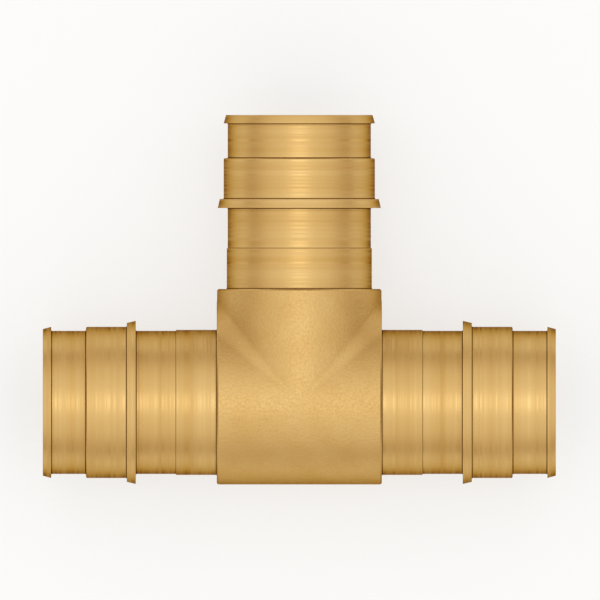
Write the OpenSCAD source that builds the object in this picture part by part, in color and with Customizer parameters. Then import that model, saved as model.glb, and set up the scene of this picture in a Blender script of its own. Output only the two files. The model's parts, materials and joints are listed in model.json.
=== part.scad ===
// Brass cold-expansion tee for 1 inch plastic water pipe, in millimetres.
// It lies flat: the run is along X, the branch points along +Y, and Z is up.
// The origin is the point where the axes of the three bores meet.

/* [Forged body] */
// Diameter of the run barrel and of the branch boss, which cross as equal cylinders
body_d = 27.4; // [27:0.1:40]
// How far each run stop face stands out past the side of the branch boss
stop_margin = 0.05; // [0.05:0.05:8]
// How far the branch stop face stands above the top of the run barrel
boss_rise = 5.2; // [3:0.1:20]
// Radius of the blend forged into the corners between the run and the branch
crotch_r = 3.5; // [0.5:0.1:4]
// Chamfer turned on the outer edge of each stop face
stop_chamfer = 0.25; // [0.1:0.05:0.5]

/* [Insert lengths, from the stop face outwards] */
// Length of the shoulder next to the stop face
shoulder_len = 6.8; // [3:0.1:12]
// Length of the neck between the shoulder and the middle rib
inner_neck_len = 6.7; // [3:0.1:12]
// Length of the middle rib
rib_len = 1.5; // [1:0.1:3]
// Length of the sealing land outside the middle rib
land_len = 6.8; // [4:0.1:12]
// Length of the neck between the land and the end barb
outer_neck_len = 5.8; // [3:0.1:12]
// Length of the end barb
barb_len = 1.4; // [1:0.1:3]

/* [Insert diameters and steps] */
// Outside diameter of the two necks
neck_d = 23.85; // [23:0.05:24.4]
// Height of the shoulder over the neck
shoulder_step = 0.16; // [0.1:0.02:0.3]
// Height of the sealing land over the neck
land_step = 0.675; // [0.6:0.025:1]
// Height of the middle rib's sharp inner edge over the neck
rib_step = 1.675; // [1.5:0.025:1.75]
// Fall of the middle rib's ramp towards the pipe end
rib_fall = 0.35; // [0.1:0.05:0.6]
// Fall of the end barb's ramp towards the pipe end
barb_fall = 0.375; // [0.1:0.025:0.5]
// Radius left by the turning tool in the corners of the insert
root_r = 0.2; // [0.1:0.05:0.3]
// Chamfer on the leading edge of the sealing land
land_chamfer = 0.15; // [0.05:0.05:0.3]

/* [Bores] */
// Diameter of the three bores
bore_d = 20; // [14:0.1:21]
// Chamfer at each bore's mouth
mouth_chamfer = 0.5; // [0.1:0.1:1]

/* [Hidden] */
$fn = 96;

body_r = body_d / 2;
bore_r = bore_d / 2;
// Distances of the stop faces from the origin
run_stop = body_r + stop_margin;
branch_stop = body_r + boss_rise;
// The blend has to end below the boss's chamfered edge
blend_r = min(crotch_r, 0.8 * (boss_rise - stop_chamfer));

// Radii of the insert
neck_r = neck_d / 2;
shoulder_r = neck_r + shoulder_step;
land_r = neck_r + land_step;
rib_r = neck_r + rib_step;
rib_tip_r = rib_r - rib_fall;
// The end barb is no wider than the land, so that the pipe seals on both
barb_r = land_r;
barb_tip_r = barb_r - barb_fall;

// Distances of the insert's steps from its stop face
neck_start = shoulder_len;
rib_start = neck_start + inner_neck_len;
land_start = rib_start + rib_len;
outer_neck_start = land_start + land_len;
barb_start = outer_neck_start + outer_neck_len;
insert_len = barb_start + barb_len;
// Depth to which an insert's solid reaches into the body
root_depth = 2;
// Turn of the run bore's section about its axis, from straight down towards the branch
section_turn = -50;

// Steps of the blend: along the crossing curve in degrees, and round the rolling ball
blend_start = 8;
blend_pitch = 4;
ball_steps = 8;
// The blend's edges lie this far under the cylinders that it joins
blend_sink = 0.02;
// Its hidden inner edge runs at this share of the crossing curve's distance
inner_share = 0.85;

blend_count = (180 - 2 * blend_start) / blend_pitch;
row_points = ball_steps + 2;
seat_r = body_r - blend_sink;

// Directions from the run axis, from the branch axis and to the curve where the two cross
function run_dir(a) = [0, sin(a), cos(a)];
function branch_dir(a) = [sin(a), 0, cos(a)];
function crossing_dir(a) = [sin(a), sin(a), cos(a)];

// Direction at share t of the way from u to v
function between(u, v, t) =
    let (w = acos(u * v))
    (sin((1 - t) * w) * u + sin(t * w) * v) / sin(w);

// One row of the blend: the arc of a ball that rests on both cylinders, then a hidden point
function blend_row(a) = concat(
    [for (k = [0:ball_steps])
        (seat_r + blend_r) * crossing_dir(a)
            - blend_r * between(run_dir(a), branch_dir(a), k / ball_steps)],
    [inner_share * body_r * crossing_dir(a)]
);

// Fills the corner between the run barrel and the branch boss on the +X side
module crotch_blend() {
    points = [for (i = [0:blend_count]) each blend_row(blend_start + i * blend_pitch)];
    sides = [for (i = [0:blend_count - 1], k = [0:row_points - 1])
        let (
            low = i * row_points,
            high = low + row_points,
            next = (k + 1) % row_points
        )
        each [[low + k, low + next, high + next], [low + k, high + next, high + k]]
    ];
    first_cap = [for (k = [row_points - 1:-1:0]) k];
    last_cap = [for (k = [0:row_points - 1]) blend_count * row_points + k];
    intersection() {
        polyhedron(points, concat(sides, [first_cap], [last_cap]));
        translate([0, 0, -body_d])
            cube([run_stop, 2 * body_d, 2 * body_d]);
    }
}

// A round bar of this length along +Z with a chamfered end
module chamfered_bar(length) {
    rotate_extrude()
        polygon([
            [0, 0],
            [body_r, 0],
            [body_r, length - stop_chamfer],
            [body_r - stop_chamfer, length],
            [0, length]
        ]);
}

// Run barrel and branch boss, with their corners blended
module forged_body() {
    run_legs() chamfered_bar(run_stop);
    branch_leg() chamfered_bar(branch_stop);
    crotch_blend();
    mirror([1, 0, 0]) crotch_blend();
}

// Fillet of the turning tool in a corner whose floor has radius r and whose wall is at z.
// side is 1 where the floor runs on towards the pipe end, and -1 where it runs to the body
module tool_fillet(r, z, side) {
    difference() {
        translate([r - root_r, z - root_r]) square(2 * root_r);
        translate([r + root_r, z + side * root_r]) circle(root_r);
    }
}

// Half section of an insert, radius across and distance from the stop face up
module insert_section() {
    polygon([
        [0, -root_depth],
        [shoulder_r, -root_depth],
        [shoulder_r, neck_start],
        [neck_r, neck_start],
        [neck_r, rib_start],
        [rib_r, rib_start],
        [rib_tip_r, land_start],
        [land_r, land_start],
        [land_r, outer_neck_start - land_chamfer],
        [land_r - land_chamfer, outer_neck_start],
        [neck_r, outer_neck_start],
        [neck_r, barb_start],
        [barb_r, barb_start],
        [barb_tip_r, insert_len],
        [0, insert_len]
    ]);
    tool_fillet(shoulder_r, 0, 1);
    tool_fillet(neck_r, rib_start, -1);
    tool_fillet(land_r, land_start, 1);
    tool_fillet(neck_r, outer_neck_start, 1);
    tool_fillet(neck_r, barb_start, -1);
}

// Turns its children, drawn along +Z, onto both ends of the run at this distance
module run_legs(from = 0) {
    for (side = [-1, 1])
        rotate([0, 90 * side, 0])
            translate([0, 0, from])
                children();
}

// Turns its children, drawn along +Z, onto the branch at this distance
module branch_leg(from = 0) {
    rotate([-90, 0, 0])
        translate([0, 0, from])
            children();
}

module insert() {
    rotate_extrude() insert_section();
}

// Half section of a bore from the middle of the fitting to its mouth at this distance
module bore_section(mouth) {
    polygon([
        [0, 0],
        [bore_r, 0],
        [bore_r, mouth - mouth_chamfer],
        [bore_r + 2 * mouth_chamfer, mouth + mouth_chamfer],
        [0, mouth + mouth_chamfer]
    ]);
}

// The run is bored right through. Its section starts its turn low on one side, where the
// branch doesn't open into it
module run_bore() {
    mouth = run_stop + insert_len;
    rotate([0, 90, 0])
        rotate(section_turn)
            rotate_extrude() {
                bore_section(mouth);
                mirror([0, 1]) bore_section(mouth);
            }
}

// The branch is bored down to the run's axis
module branch_bore() {
    branch_leg()
        rotate_extrude()
            bore_section(branch_stop + insert_len);
}

module tee_fitting() {
    color("#c99a4b")
    difference() {
        union() {
            forged_body();
            run_legs(run_stop) insert();
            branch_leg(branch_stop) insert();
        }
        run_bore();
        branch_bore();
    }
}

tee_fitting();
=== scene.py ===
import json
import math

import bmesh
import bpy
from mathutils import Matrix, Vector


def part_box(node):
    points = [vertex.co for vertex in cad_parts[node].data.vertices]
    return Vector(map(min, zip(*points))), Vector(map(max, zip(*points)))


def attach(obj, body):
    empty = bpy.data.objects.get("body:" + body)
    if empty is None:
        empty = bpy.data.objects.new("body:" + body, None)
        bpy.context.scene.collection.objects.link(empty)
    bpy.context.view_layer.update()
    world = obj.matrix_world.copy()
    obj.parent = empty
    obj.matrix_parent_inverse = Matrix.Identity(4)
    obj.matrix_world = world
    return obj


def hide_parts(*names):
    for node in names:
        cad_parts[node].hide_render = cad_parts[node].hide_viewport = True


# A brass tee for cold-expansion plastic pipe. It lies flat, with the camera straight above it.
# Shapes are worked out in millimetres and turned to metres as each point is made.
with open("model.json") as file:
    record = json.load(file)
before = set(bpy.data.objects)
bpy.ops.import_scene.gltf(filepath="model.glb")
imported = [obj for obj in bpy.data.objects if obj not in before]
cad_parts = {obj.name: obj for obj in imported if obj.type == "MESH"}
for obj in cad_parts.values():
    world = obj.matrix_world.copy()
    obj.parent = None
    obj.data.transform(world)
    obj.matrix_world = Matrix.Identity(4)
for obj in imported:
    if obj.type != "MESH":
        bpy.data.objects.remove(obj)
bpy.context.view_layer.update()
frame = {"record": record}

MM = 0.001

# Sizes that the frame gives
mounts = {mount["name"]: mount for mount in frame["record"]["mounts"]}
low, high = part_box("tee_fitting")
RUN_STOP = mounts["run_right_stop"]["pos_m"][0] / MM
BRANCH_STOP = mounts["branch_stop"]["pos_m"][1] / MM
LAND_R = mounts["run_right_land"]["dims"]["r_mm"]
BORE_R = mounts["run_bore"]["dims"]["r_mm"]
BODY_R = round(high.z / MM, 1)
INSERT_LEN = round(high.x / MM, 2) - RUN_STOP

# Forged body
CROTCH_R = 3.5
STOP_CHAMFER = 0.25
# Width of the narrow flat where the forging's flash was trimmed off, halfway up, and the
# angle from the top at which it starts
TRIM_W = 1.6
TRIM_EDGE_ANGLE = math.acos(TRIM_W / 2 / BODY_R)

# Insert, measured along it from the stop face
NECK_START = 6.8
RIB_START = 13.5
LAND_START = 15.0
OUTER_NECK_START = 21.8
BARB_START = 27.6
NECK_R = 11.925
SHOULDER_R = 12.085
RIB_R = 13.6
RIB_TIP_R = 13.25
BARB_R = LAND_R
BARB_TIP_R = 12.225
LAND_CHAMFER = 0.15
MOUTH_CHAMFER = 0.5

# How far from a corner its rounding starts: the turning tool's nose in a root, the same in the
# low step of the shoulder, and the break on an edge
ROOT = 0.2
STEP_ROOT = 0.09
EDGE = 0.06
# The same where the bores meet, at the side of the fitting
BORE_MEETING_EDGE = 0.15

# Degrees between the points round a bore or barrel, and steps in a rounding and in the blend
TURN_STEP = 1.5
ROUNDING_STEPS = 4
BLEND_STEPS = 12
# Points closer than this are joined into one
WELD = 0.001
# Degrees between two faces past which the edge between them is drawn sharp
SHARP_TURN = 35

# Flat map of the metal's surface, in texels: its size, the width of a column and
# of the narrow ones for bores, and the gap round each
MAP_NAME = "OFBake"
MAP_SIZE = 1024
COLUMN = 97
BORE_COLUMN = 48
COLUMN_GAP = 4
# Shorter stretches of a section are drawn this long on the map, so that a root fills a texel
LEAST_STRETCH = 0.1

# Finishes, in the order of the mesh's materials
RUN_BORED = 0
BRANCH_BORED = 1
RUN_TURNED = 2
BRANCH_TURNED = 3
FORGED = 4


def rounded_corner(corner, before, after, reach):
    """Points of a curve across a corner, from reach before it to reach after it."""
    shares = [step / ROUNDING_STEPS for step in range(ROUNDING_STEPS + 1)]
    return [
        corner + (1 - t) ** 2 * reach * before + t**2 * reach * after for t in shares
    ]


def insert_outline(stop):
    """Half section of a leg from its bore to its stop face. Each point is its distance out and
    its radius, and 1 where it lies in a root."""
    corners = [
        (INSERT_LEN - MOUTH_CHAMFER, BORE_R, EDGE),
        (INSERT_LEN, BORE_R + MOUTH_CHAMFER, EDGE),
        (INSERT_LEN, BARB_TIP_R, EDGE),
        (BARB_START, BARB_R, EDGE),
        (BARB_START, NECK_R, ROOT),
        (OUTER_NECK_START, NECK_R, ROOT),
        (OUTER_NECK_START, LAND_R - LAND_CHAMFER, EDGE),
        (OUTER_NECK_START - LAND_CHAMFER, LAND_R, EDGE),
        (LAND_START, LAND_R, ROOT),
        (LAND_START, RIB_TIP_R, EDGE),
        (RIB_START, RIB_R, EDGE),
        (RIB_START, NECK_R, ROOT),
        (NECK_START, NECK_R, STEP_ROOT),
        (NECK_START, SHOULDER_R, EDGE),
        (0, SHOULDER_R, ROOT),
    ]
    places = [Vector((stop + out, radius)) for out, radius, reach in corners]
    reaches = [reach for out, radius, reach in corners]
    befores = [Vector((0, BORE_R)), *places]
    afters = [*places[1:], Vector((stop, BODY_R))]
    outline = []
    for before, corner, after, reach in zip(befores, places, afters, reaches):
        to_before = (before - corner).normalized()
        to_after = (after - corner).normalized()
        curve = rounded_corner(corner, to_before, to_after, reach)
        in_root = 1 if reach in (ROOT, STEP_ROOT) else 0
        inner = [(*point, in_root) for point in curve[1:-1]]
        outline += [(*curve[0], 0), *inner, (*curve[-1], 0)]
    return outline


RUN_OUTLINE = insert_outline(RUN_STOP)
BRANCH_OUTLINE = insert_outline(BRANCH_STOP)
# The bore's finish ends with the first point of an outline, at the mouth's chamfer
MOUTH_POINTS = 1


def on_run(out, radius, angle):
    """Point beside the run's axis, at an angle from the top towards the branch."""
    return Vector((out, radius * math.sin(angle), radius * math.cos(angle)))


def on_branch(out, radius, angle):
    """Point beside the branch's axis, at an angle from the top towards the run's end."""
    return Vector((radius * math.sin(angle), out, radius * math.cos(angle)))


def on_blend(angle, share):
    """Point of the blend in the crotch: 0 is its edge on the barrel, and 1 on the boss."""
    centre = (BODY_R + CROTCH_R) * Vector(
        (math.sin(angle), math.sin(angle), math.cos(angle))
    )
    to_run = on_run(0, 1, angle)
    to_boss = on_branch(0, 1, angle)
    # At the top the two cylinders touch along one line, and the blend has no width
    if angle == 0:
        return centre - CROTCH_R * to_run
    between = to_run.angle(to_boss)
    run_part = math.sin((1 - share) * between) / math.sin(between)
    boss_part = math.sin(share * between) / math.sin(between)
    return centre - CROTCH_R * (run_part * to_run + boss_part * to_boss)


def blend_share_at(angle, limit):
    """Share of the blend that lies past this distance along the run, where it is cut off."""
    past = (BODY_R + CROTCH_R) * math.sin(angle) - limit
    if past <= 0:
        return 0
    between = on_run(0, 1, angle).angle(on_branch(0, 1, angle))
    sine = math.sin(between) * past / (CROTCH_R * math.sin(angle))
    return min(math.asin(min(sine, 1)) / between, 1)


def stop_edge(angle):
    """Edge of the run's stop face, where the forged skin starts behind its chamfer, and the
    share of the blend that the chamfer has cut off there."""
    blend_start = (BODY_R + CROTCH_R) * math.sin(angle)
    chamfer = min(STOP_CHAMFER, max(RUN_STOP - blend_start, EDGE))
    cut = blend_share_at(angle, RUN_STOP - chamfer)
    if cut == 0:
        skin = on_run(RUN_STOP - chamfer, BODY_R, angle)
    else:
        skin = on_blend(angle, cut)
    if blend_start <= RUN_STOP:
        face = on_run(RUN_STOP, BODY_R - chamfer, angle)
    else:
        corner = on_blend(angle, blend_share_at(angle, RUN_STOP))
        inward = -Vector((0, corner.y, corner.z)).normalized()
        face = corner + chamfer * inward
    return face, skin, cut


def barrel_radius(angle):
    """Radius of the barrel on the side away from the branch, with its trimmed flat."""
    turn = abs(angle)
    if turn <= TRIM_EDGE_ANGLE:
        return BODY_R
    return BODY_R * math.sin(TRIM_EDGE_ANGLE) / math.sin(turn)


def lower_section(angle):
    """Section on the side away from the branch, from the middle of the bore out to the mouth
    and back in along the barrel. Each point has the finish of the stretch that leads to it,
    and 1 where it lies in a root."""
    radius = barrel_radius(angle)
    run = [(on_run(out, r, angle), root) for out, r, root in RUN_OUTLINE]
    return [
        (RUN_BORED, on_run(0, BORE_R, angle), 0),
        *[(RUN_BORED, *point) for point in run[:MOUTH_POINTS]],
        *[(RUN_TURNED, *point) for point in run[MOUTH_POINTS:]],
        (RUN_TURNED, on_run(RUN_STOP, BODY_R - STOP_CHAMFER, angle), 0),
        (RUN_TURNED, on_run(RUN_STOP - STOP_CHAMFER, radius, angle), 0),
        (FORGED, on_run(0, radius, angle), 0),
    ]


def upper_section(angle):
    """Section on the branch's side, a closed loop: out along the run's bore, back over its
    insert and the body to the branch, out over its insert and back in along its bore."""
    meeting = on_run(BORE_R * math.sin(angle), BORE_R, angle)
    # Where the two bores run together at the top there is no edge to break
    reach = BORE_MEETING_EDGE * math.sin(angle)
    bore_edge = rounded_corner(meeting, Vector((0, 1, 0)), Vector((1, 0, 0)), reach)
    run = [(on_run(out, r, angle), root) for out, r, root in RUN_OUTLINE]
    branch = [(on_branch(out, r, angle), root) for out, r, root in reversed(BRANCH_OUTLINE)]
    face, skin, cut = stop_edge(angle)
    shares = [cut + (1 - cut) * step / BLEND_STEPS for step in range(BLEND_STEPS + 1)]
    return [
        *[(RUN_BORED, point, 0) for point in bore_edge],
        *[(RUN_BORED, *point) for point in run[:MOUTH_POINTS]],
        *[(RUN_TURNED, *point) for point in run[MOUTH_POINTS:]],
        (RUN_TURNED, face, 0),
        (RUN_TURNED, skin, 0),
        *[(FORGED, on_blend(angle, share), 0) for share in shares],
        (FORGED, on_branch(BRANCH_STOP - STOP_CHAMFER, BODY_R, angle), 0),
        (BRANCH_TURNED, on_branch(BRANCH_STOP, BODY_R - STOP_CHAMFER, angle), 0),
        *[(BRANCH_TURNED, *point) for point in branch],
        (BRANCH_BORED, bore_edge[0], 0),
    ]


def section_angles():
    """Angles of the sections from the top to the side. One is where the stop face starts to
    cut the blend, and one is at the edge of the trimmed flat."""
    cut_start = math.asin(RUN_STOP / (BODY_R + CROTCH_R))
    fixed = [0, cut_start, TRIM_EDGE_ANGLE, math.radians(90)]
    step = math.radians(TURN_STEP)
    between = [index * step for index in range(round(math.radians(90) / step))]
    clear = [a for a in between if min(abs(a - f) for f in fixed) > step / 2]
    return sorted(fixed + clear)


def map_stretches(sections, widths):
    """Where each stretch between two points of the sections goes on the flat map: its column,
    and how far up the map it starts and ends. The bores go in the last column."""
    lengths = [0] * len(widths)
    stretches = []
    for index in range(1, len(sections[0])):
        bored = sections[0][index][0] in (RUN_BORED, BRANCH_BORED)
        column = len(widths) - 1 if bored else 0
        longest = max((s[index][1] - s[index - 1][1]).length for s in sections)
        start = lengths[column]
        lengths[column] += max(longest, LEAST_STRETCH)
        stretches.append((column, start, lengths[column]))
    scales = [(MAP_SIZE - 2 * COLUMN_GAP) / length for length in lengths]
    return [
        (column, COLUMN_GAP + start * scales[column], COLUMN_GAP + end * scales[column])
        for column, start, end in stretches
    ]


def add_row(mesh, section, across, up):
    """Adds the points of one section in one of the part's mirror images."""
    root_layer = mesh.verts.layers.float["root"]
    row = []
    for finish, place, root in section:
        vertex = mesh.verts.new((across * place.x * MM, place.y * MM, up * place.z * MM))
        vertex[root_layer] = root
        row.append(vertex)
    return row


def add_strip(mesh, sections, widths, left):
    """Joins neighbouring sections with faces, in each of the part's four mirror images. Each
    image is laid out square on the flat map, in columns of these widths, so that rings and
    steps run straight across it. Returns where the next column starts."""
    map_layer = mesh.loops.layers.uv[MAP_NAME]
    stretches = map_stretches(sections, widths)
    for across, up in ((1, 1), (-1, 1), (1, -1), (-1, -1)):
        mirrored = across * up < 0
        columns = []
        for width in widths:
            right = left + width
            edges = (right, left) if mirrored else (left, right)
            columns.append([
                edges[0] + (edges[1] - edges[0]) * step / (len(sections) - 1)
                for step in range(len(sections))
            ])
            left = right + COLUMN_GAP
        rows = [add_row(mesh, section, across, up) for section in sections]
        for step, (row, next_row) in enumerate(zip(rows, rows[1:])):
            for index, (column, start, end) in enumerate(stretches):
                here, there = columns[column][step : step + 2]
                corners = [
                    (row[index], (here, start)),
                    (row[index + 1], (here, end)),
                    (next_row[index + 1], (there, end)),
                    (next_row[index], (there, start)),
                ]
                if mirrored:
                    corners.reverse()
                face = mesh.faces.new([vertex for vertex, spot in corners])
                for loop, (vertex, spot) in zip(face.loops, corners):
                    loop[map_layer].uv = Vector(spot) / MAP_SIZE
                face.material_index = sections[0][index + 1][0]
                face.smooth = True
    return left


def make_tee():
    """The whole fitting as one closed mesh, with every edge broken as the real one's are."""
    angles = section_angles()
    mesh = bmesh.new()
    mesh.verts.layers.float.new("root")
    mesh.loops.layers.uv.new(MAP_NAME)
    upper = [upper_section(angle) for angle in angles]
    lower = [lower_section(-angle) for angle in reversed(angles)]
    mapped = add_strip(mesh, upper, (COLUMN, BORE_COLUMN), COLUMN_GAP)
    add_strip(mesh, lower, (COLUMN,), mapped)
    bmesh.ops.remove_doubles(mesh, verts=mesh.verts, dist=WELD * MM)
    bmesh.ops.recalc_face_normals(mesh, faces=mesh.faces)
    data = bpy.data.meshes.new("tee_fitting_turned")
    mesh.to_mesh(data)
    mesh.free()
    data.set_sharp_from_angle(angle=math.radians(SHARP_TURN))
    tee = bpy.data.objects.new("tee_fitting_turned", data)
    bpy.context.scene.collection.objects.link(tee)
    shading = tee.modifiers.new("even_shading", "WEIGHTED_NORMAL")
    shading.keep_sharp = True
    return tee


def linear(hex_code):
    """Linear colour of an sRGB hex value."""
    shares = [int(hex_code[i : i + 2], 16) / 255 for i in (1, 3, 5)]
    return [
        *[s / 12.92 if s <= 0.04045 else ((s + 0.055) / 1.055) ** 2.4 for s in shares],
        1,
    ]


def add(tree, kind, inputs=None, **settings):
    """Adds one node with its settings. Inputs are set, or linked where a socket is given. A Mix
    has its share at 0, and what it mixes at 2 and 3 for numbers or at 6 and 7 for colours."""
    node = tree.nodes.new("ShaderNode" + kind)
    for name, value in settings.items():
        setattr(node, name, value)
    for key, value in (inputs or {}).items():
        if isinstance(value, bpy.types.NodeSocket):
            tree.links.new(value, node.inputs[key])
        else:
            node.inputs[key].default_value = value
    return node


def new_material(name):
    """An empty material and its node tree."""
    material = bpy.data.materials.new(name)
    material.use_nodes = True
    material.node_tree.nodes.clear()
    return material, material.node_tree


BRASS = "#DEB979"
BRASS_DULLER = "#D1A864"
BRASS_EDGE_TINT = "#6E4B1C"
# Tarnish in the roots of the steps, made darker as painted shade of each corner's hollow
ROOT_TARNISH_AND_SHADE = "#7A5524"
# Most of a noise lies between these
NOISE_LOW = 0.3
NOISE_HIGH = 0.7


def tool_rings(tree, axis, width):
    """Noise that runs in rings of about this width round one axis: along the axis on a
    cylinder, and outwards from it on a face across it."""
    place = add(tree, "TexCoord").outputs["Object"]
    along = add(tree, "SeparateXYZ", {0: place}).outputs[axis]
    flat = [0 if letter == axis else 1 for letter in "XYZ"]
    across = add(tree, "VectorMath", {0: place, 1: flat}, operation="MULTIPLY").outputs[0]
    radius = add(tree, "VectorMath", {0: across}, operation="LENGTH").outputs["Value"]
    ring_place = add(tree, "CombineXYZ", {0: along, 1: radius}).outputs[0]
    return add(
        tree,
        "TexNoise",
        {"Vector": ring_place, "Scale": 1 / width, "Detail": 2, "Roughness": 0.6},
        noise_dimensions="2D",
    ).outputs[0]


def bare_brass(tree, colour, roughness, normal):
    """The metal itself, which all its finishes share."""
    shader = add(
        tree,
        "BsdfPrincipled",
        {
            "Base Color": colour,
            "Metallic": 1,
            "Roughness": roughness,
            "Specular Tint": linear(BRASS_EDGE_TINT),
            "Normal": normal,
        },
    )
    add(tree, "OutputMaterial", {"Surface": shader.outputs[0]})


def turned_brass(name, axis):
    """Brass turned on a lathe: bright, with fine rings round the axis that catch the light as
    faint lines. Tarnish in the roots, where the tool's nose leaves a corner, deepened with
    painted shade of the corner's hollow, draws a thin dark line at each step."""
    ring_pitch = 0.5 * MM   # the real feed marks are about 0.12 mm apart, too fine to show
    ring_depth = 0.04 * MM
    tone_width = 2.5 * MM
    tone_low = 0.25
    tone_high = 0.75
    smoothest = 0.3
    roughest = 0.48
    material, tree = new_material(name)
    rings = tool_rings(tree, axis, ring_pitch)
    tone = add(
        tree,
        "MapRange",
        {
            "Value": tool_rings(tree, axis, tone_width),
            "From Min": tone_low,
            "From Max": tone_high,
        },
    ).outputs[0]
    clean = add(
        tree, "Mix", {0: tone, 6: linear(BRASS), 7: linear(BRASS_DULLER)}, data_type="RGBA"
    ).outputs[2]
    # The roots' dark line: real tarnish, with painted shade of each corner's hollow added to it
    root = add(tree, "Attribute", attribute_name="root").outputs["Fac"]
    colour = add(
        tree, "Mix", {0: root, 6: clean, 7: linear(ROOT_TARNISH_AND_SHADE)}, data_type="RGBA"
    ).outputs[2]
    roughness = add(
        tree,
        "MapRange",
        {
            "Value": rings,
            "From Min": NOISE_LOW,
            "From Max": NOISE_HIGH,
            "To Min": smoothest,
            "To Max": roughest,
        },
    ).outputs[0]
    normal = add(tree, "Bump", {"Height": rings, "Distance": ring_depth}).outputs[0]
    bare_brass(tree, colour, roughness, normal)
    return material


def bored_brass(name, axis):
    """Brass bored out with a long slim tool, which chatters: duller than the turned outside,
    with coarser rings."""
    ring_pitch = 0.9 * MM   # the real marks are about 0.25 mm apart, too fine to show
    ring_depth = 0.08 * MM
    smoothest = 0.38
    roughest = 0.55
    material, tree = new_material(name)
    rings = tool_rings(tree, axis, ring_pitch)
    colour = add(
        tree, "Mix", {0: rings, 6: linear(BRASS), 7: linear(BRASS_DULLER)}, data_type="RGBA"
    ).outputs[2]
    roughness = add(
        tree,
        "MapRange",
        {
            "Value": rings,
            "From Min": NOISE_LOW,
            "From Max": NOISE_HIGH,
            "To Min": smoothest,
            "To Max": roughest,
        },
    ).outputs[0]
    normal = add(tree, "Bump", {"Height": rings, "Distance": ring_depth}).outputs[0]
    bare_brass(tree, colour, roughness, normal)
    return material


def forged_brass(name):
    """Hot-forged brass, shot-blasted clean: an even satin skin of fine dimples, with a slow
    change of tone where the dies and the blast took it differently. Halfway up, where the
    flash was trimmed off, it is smoother and drawn into fine lines."""
    dimple_w = 0.4 * MM    # the real dimples are about 0.15 mm wide, too fine to show
    line_w = 0.3 * MM      # the real lines are about 0.05 mm wide, too fine to show
    line_stretch = 30
    mark_depth = 0.06 * MM
    swell_w = 5 * MM
    swell_depth = 0.03 * MM
    smoothest = 0.38
    roughest = 0.55
    trim_half = TRIM_W / 2 * MM
    trim_edge = 0.15 * MM
    trim_roughness = 0.34
    material, tree = new_material(name)
    place = add(tree, "TexCoord").outputs["Object"]
    dimples = add(
        tree, "TexNoise", {"Vector": place, "Scale": 1 / dimple_w, "Detail": 3}
    ).outputs[0]
    drawn = add(
        tree,
        "VectorMath",
        {0: place, 1: (1 / line_stretch, 1 / line_stretch, 1)},
        operation="MULTIPLY",
    ).outputs[0]
    lines = add(tree, "TexNoise", {"Vector": drawn, "Scale": 1 / line_w, "Detail": 2}).outputs[0]
    swells = add(
        tree, "TexNoise", {"Vector": place, "Scale": 1 / swell_w, "Detail": 1}
    ).outputs[0]

    height = add(tree, "SeparateXYZ", {0: place}).outputs["Z"]
    from_middle = add(tree, "Math", {0: height}, operation="ABSOLUTE").outputs[0]
    trimmed = add(
        tree,
        "MapRange",
        {"Value": from_middle, "From Min": trim_half + trim_edge, "From Max": trim_half},
    ).outputs[0]

    tone = add(
        tree, "Mix", {0: swells, 6: linear(BRASS), 7: linear(BRASS_DULLER)}, data_type="RGBA"
    ).outputs[2]
    colour = add(
        tree, "Mix", {0: trimmed, 6: tone, 7: linear(BRASS)}, data_type="RGBA"
    ).outputs[2]
    satin = add(
        tree,
        "MapRange",
        {
            "Value": dimples,
            "From Min": NOISE_LOW,
            "From Max": NOISE_HIGH,
            "To Min": smoothest,
            "To Max": roughest,
        },
    ).outputs[0]
    roughness = add(tree, "Mix", {0: trimmed, 2: satin, 3: trim_roughness}).outputs[0]
    marks = add(tree, "Mix", {0: trimmed, 2: dimples, 3: lines}).outputs[0]
    broad = add(tree, "Bump", {"Height": swells, "Distance": swell_depth}).outputs[0]
    normal = add(
        tree, "Bump", {"Height": marks, "Distance": mark_depth, "Normal": broad}
    ).outputs[0]
    bare_brass(tree, colour, roughness, normal)
    return material


def matt_white_card(name):
    """White card: pale and matt. What sees it directly, or mirrored in metal, sees it partly at
    full white, so that the background is white and the soft shadow still shows on it."""
    lift = 0.65
    material, tree = new_material(name)
    card = add(
        tree, "BsdfPrincipled", {"Base Color": linear("#FAFAF8"), "Roughness": 0.95}
    ).outputs[0]
    white = add(tree, "Emission", {"Color": linear("#FFFFFF"), "Strength": 1}).outputs[0]
    ray = add(tree, "LightPath").outputs
    seen = add(
        tree,
        "Math",
        {0: ray["Is Camera Ray"], 1: ray["Is Glossy Ray"]},
        operation="MAXIMUM",
    ).outputs[0]
    seen = add(
        tree, "Math", {0: seen, 1: ray["Is Transmission Ray"]}, operation="MAXIMUM"
    ).outputs[0]
    share = add(tree, "Math", {0: seen, 1: lift}, operation="MULTIPLY").outputs[0]
    mixed = add(tree, "MixShader", {0: share, 1: card, 2: white}).outputs[0]
    add(tree, "OutputMaterial", {"Surface": mixed})
    return material


def make_floor():
    """A flat pale floor at the height that the fitting rests on."""
    reach = 1.5
    sides = ((-1, -1), (1, -1), (1, 1), (-1, 1))
    corners = [(across * reach, along * reach, low.z) for across, along in sides]
    data = bpy.data.meshes.new("floor")
    data.from_pydata(corners, [], [(0, 1, 2, 3)])
    floor = bpy.data.objects.new("floor", data)
    bpy.context.scene.collection.objects.link(floor)
    data.materials.append(matt_white_card("matt_white_card"))


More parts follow.
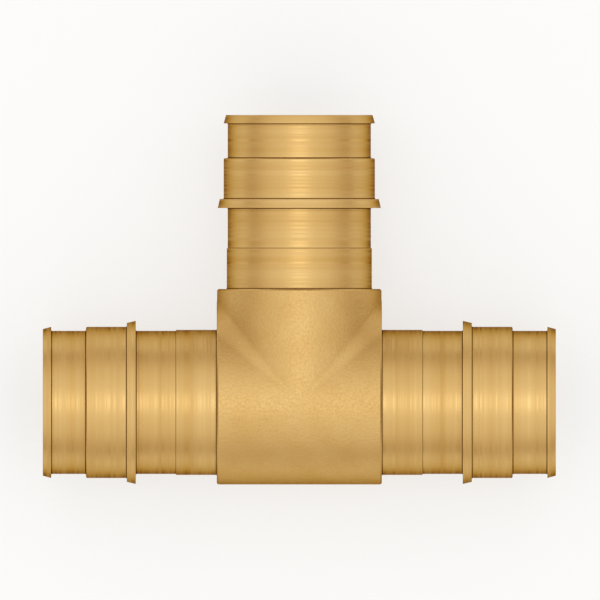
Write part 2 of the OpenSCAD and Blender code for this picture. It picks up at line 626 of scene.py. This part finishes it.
def make_lights():
    """A soft box of daylight white straight overhead, in a pale room whose walls are dimmer and
    warmer than its ceiling. Past the floor's edge the ground is white too, up to the horizon."""
    box_size = 0.3
    box_height = 0.7
    box_brightness = 1.0
    daylight = "#E6F0FF"
    ceiling = "#FFFFFF"
    ceiling_strength = 1.05
    walls = "#FFECCE"
    walls_strength = 0.52
    ceiling_starts = 0.8
    ground = "#FFFFFF"
    ground_strength = 1
    ground_ends = 0.005
    walls_start = 0.02
    lamp = bpy.data.lights.new("softbox", "AREA")
    lamp.shape = "SQUARE"
    lamp.size = box_size
    lamp.energy = box_brightness * math.pi * box_size**2
    lamp.color = linear(daylight)[:3]
    softbox = bpy.data.objects.new("softbox", lamp)
    softbox.location = (0, 0, box_height)
    softbox.visible_camera = False
    bpy.context.scene.collection.objects.link(softbox)

    world = bpy.data.worlds.new("pale_room")
    bpy.context.scene.world = world
    world.use_nodes = True
    tree = world.node_tree
    tree.nodes.clear()
    direction = add(tree, "TexCoord").outputs["Generated"]
    height = add(tree, "SeparateXYZ", {0: direction}).outputs["Z"]
    rise = add(
        tree,
        "MapRange",
        {"Value": height, "From Max": ceiling_starts},
        interpolation_type="SMOOTHSTEP",
    ).outputs[0]
    tone = add(
        tree, "Mix", {0: rise, 6: linear(walls), 7: linear(ceiling)}, data_type="RGBA"
    ).outputs[2]
    strength = add(
        tree, "MapRange", {"Value": rise, "To Min": walls_strength, "To Max": ceiling_strength}
    ).outputs[0]
    low_down = add(
        tree, "MapRange", {"Value": height, "From Min": walls_start, "From Max": ground_ends}
    ).outputs[0]
    tone = add(
        tree, "Mix", {0: low_down, 6: tone, 7: linear(ground)}, data_type="RGBA"
    ).outputs[2]
    strength = add(tree, "Mix", {0: low_down, 2: strength, 3: ground_strength}).outputs[0]
    room = add(tree, "Background", {"Color": tone, "Strength": strength})
    add(tree, "OutputWorld", {"Surface": room.outputs[0]})


def make_camera():
    """The drawing's own view: square on from above, without perspective, and placed by the row
    of pixels that the run's axis lies in and the column of the branch's."""
    pixels = 600
    pixels_per_mm = 6
    run_axis_row = 402.4
    branch_axis_column = 299.3
    camera_height = 2.0
    data = bpy.data.cameras.new("camera")
    data.type = "ORTHO"
    data.ortho_scale = pixels / pixels_per_mm * MM
    camera = bpy.data.objects.new("camera", data)
    camera.location = (
        (pixels / 2 - branch_axis_column) / pixels_per_mm * MM,
        (run_axis_row - pixels / 2) / pixels_per_mm * MM,
        camera_height,
    )
    bpy.context.scene.collection.objects.link(camera)
    bpy.context.scene.camera = camera


make_camera()
make_lights()
make_floor()

tee = make_tee()
for material in (
    bored_brass("run_bored_brass", "X"),
    bored_brass("branch_bored_brass", "Y"),
    turned_brass("run_turned_brass", "X"),
    turned_brass("branch_turned_brass", "Y"),
    forged_brass("forged_brass"),
):
    tee.data.materials.append(material)
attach(tee, "root")
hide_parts("tee_fitting")

bpy.context.scene.view_settings.view_transform = "Standard"
